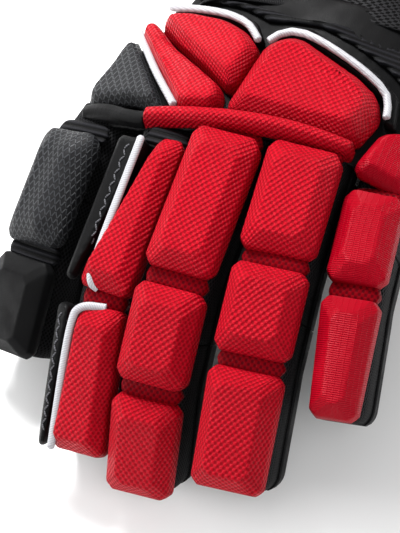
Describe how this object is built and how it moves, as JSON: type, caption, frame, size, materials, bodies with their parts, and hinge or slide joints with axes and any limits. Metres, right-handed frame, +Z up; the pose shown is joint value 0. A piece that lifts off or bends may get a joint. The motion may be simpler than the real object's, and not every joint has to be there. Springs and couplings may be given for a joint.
{
  "type": "ice hockey glove",
  "caption": "Left-hand protective ice hockey glove with segmented padded fingers, back pads, reinforced thumb and flared cuff.",
  "frame": {"origin": "middle of the glove's underside, on the surface that it lies on, palm down", "axes": "+Z up through the back of the hand, +Y from the fingers to the cuff, +X towards the little finger"},
  "size_m": [0.1918, 0.3242, 0.1025],
  "materials": {
    "red_weave": "coarse red ballistic nylon weave, slightly glossy",
    "red_ribbed": "finer red nylon with close ribs across the finger",
    "black_shell": "black embossed synthetic cover with topstitching",
    "black_fabric": "matte black ribbed stretch fabric and webbing",
    "palm_leather": "thin black synthetic suede with mesh gussets",
    "silver_piping": "satin silver piping",
    "guard_plastic": "moulded polyethylene guard plates, hidden inside"
  },
  "bodies": {
    "hand": {"back_panel": "black_fabric", "back_guard_plate": "guard_plastic", "palm_shell": "palm_leather", "palm_overlay": "palm_leather", "knuckle_welt_red": "red_weave", "knuckle_welt_black": "black_fabric", "thumb_root_pad": "black_shell", "thumb_web_pad": "red_weave", "centre_back_pad": "red_weave", "outer_back_pad": "red_weave", "thumb_web_piping": "silver_piping", "centre_pad_piping": "silver_piping", "outer_pad_piping": "silver_piping", "centre_pad_wall": "black_shell", "outer_pad_wall": "black_shell", "little_knuckle_pad": "red_ribbed", "outer_side_pad": "red_ribbed", "wrist_flex_panel": "black_fabric"},
    "index_prox": {"index_sleeve_1": "palm_leather", "index_pad_1": "red_weave", "index_side_wall_1": "black_shell", "index_piping_1": "silver_piping"},
    "index_dist": {"index_sleeve_2": "palm_leather", "index_pad_2": "red_weave", "index_side_wall_2": "black_shell", "index_piping_2": "silver_piping"},
    "middle_prox": {"middle_sleeve_1": "palm_leather", "middle_pad_1": "red_weave"},
    "middle_mid": {"middle_sleeve_2": "palm_leather", "middle_pad_2": "red_weave"},
    "middle_dist": {"middle_sleeve_3": "palm_leather", "middle_pad_3": "red_weave"},
    "ring_prox": {"ring_sleeve_1": "palm_leather", "ring_pad_1": "red_weave"},
    "ring_mid": {"ring_sleeve_2": "palm_leather", "ring_pad_2": "red_weave"},
    "ring_dist": {"ring_sleeve_3": "palm_leather", "ring_pad_3": "red_weave"},
    "little_prox": {"little_sleeve_1": "palm_leather", "little_pad_1": "red_ribbed"},
    "little_dist": {"little_sleeve_2": "palm_leather", "little_pad_2": "red_ribbed"},
    "thumb_prox": {"thumb_sleeve_1": "black_fabric", "thumb_guard_plate_1": "guard_plastic", "thumb_pad_1": "black_shell"},
    "thumb_dist": {"thumb_sleeve_2": "black_fabric", "thumb_guard_plate_2": "guard_plastic", "thumb_pad_2": "black_shell"},
    "cuff": {"cuff_back_shell": "black_shell", "cuff_palm_panel": "palm_leather", "cuff_binding": "black_fabric", "cuff_guard_plate": "guard_plastic", "cuff_liner": "black_fabric", "cuff_roll_outer": "red_weave", "cuff_roll_centre": "red_weave", "cuff_roll_thumb_side": "black_shell"}
  },
  "joints": [
    {"name": "index_knuckle", "type": "hinge", "parent": "hand", "child": "index_prox", "pos_m": [-0.03048, -0.02189, 0.06884], "axis": [0.9957, -0.0924, 0], "range_deg": [-3, 45]},
    {"name": "index_curl", "type": "hinge", "parent": "index_prox", "child": "index_dist", "pos_m": [-0.0366, -0.08789, 0.04794], "axis": [0.9996, -0.0009, 0.0288], "range_deg": [-8, 55]},
    {"name": "middle_knuckle", "type": "hinge", "parent": "hand", "child": "middle_prox", "pos_m": [0.00347, -0.01939, 0.07702], "axis": [0.9981, -0.0611, 0], "range_deg": [-3, 45]},
    {"name": "middle_curl", "type": "hinge", "parent": "middle_prox", "child": "middle_mid", "pos_m": [-0.00031, -0.08127, 0.06328], "axis": [0.999, -0.044, 0.0038], "range_deg": [-8, 55]},
    {"name": "middle_tip", "type": "hinge", "parent": "middle_mid", "child": "middle_dist", "pos_m": [-0.0018, -0.11688, 0.04013], "axis": [0.9996, -0.0191, 0.0199], "range_deg": [-8, 55]},
    {"name": "ring_knuckle", "type": "hinge", "parent": "hand", "child": "ring_prox", "pos_m": [0.03792, -0.01889, 0.07613], "axis": [0.9999, 0.0157, 0], "range_deg": [-3, 45]},
    {"name": "ring_curl", "type": "hinge", "parent": "ring_prox", "child": "ring_mid", "pos_m": [0.03868, -0.06714, 0.06762], "axis": [0.9999, 0.0157, 0], "range_deg": [-8, 55]},
    {"name": "ring_tip", "type": "hinge", "parent": "ring_mid", "child": "ring_dist", "pos_m": [0.03926, -0.10422, 0.05264], "axis": [0.9999, 0.0157, 0], "range_deg": [-8, 55]},
    {"name": "little_knuckle", "type": "hinge", "parent": "hand", "child": "little_prox", "pos_m": [0.06962, -0.02739, 0.0637], "axis": [0.9978, 0.0663, 0], "range_deg": [-3, 45]},
    {"name": "little_curl", "type": "hinge", "parent": "little_prox", "child": "little_dist", "pos_m": [0.07227, -0.0673, 0.05737], "axis": [0.9965, 0.0835, 0.0027], "range_deg": [-8, 55]},
    {"name": "thumb_base", "type": "hinge", "parent": "hand", "child": "thumb_prox", "pos_m": [-0.06798, -0.01539, 0.05016], "axis": [0.9954, -0.0958, 0], "range_deg": [-3, 30]},
    {"name": "thumb_tip", "type": "hinge", "parent": "thumb_prox", "child": "thumb_dist", "pos_m": [-0.0728, -0.06542, 0.03334], "axis": [0.998, -0.0628, 0.0111], "range_deg": [-5, 30]},
    {"name": "cuff_tilt", "type": "hinge", "parent": "hand", "child": "cuff", "pos_m": [0.01797, 0.07511, 0.045], "axis": [1, 0, 0], "range_deg": [-12, 12]}
  ]
}
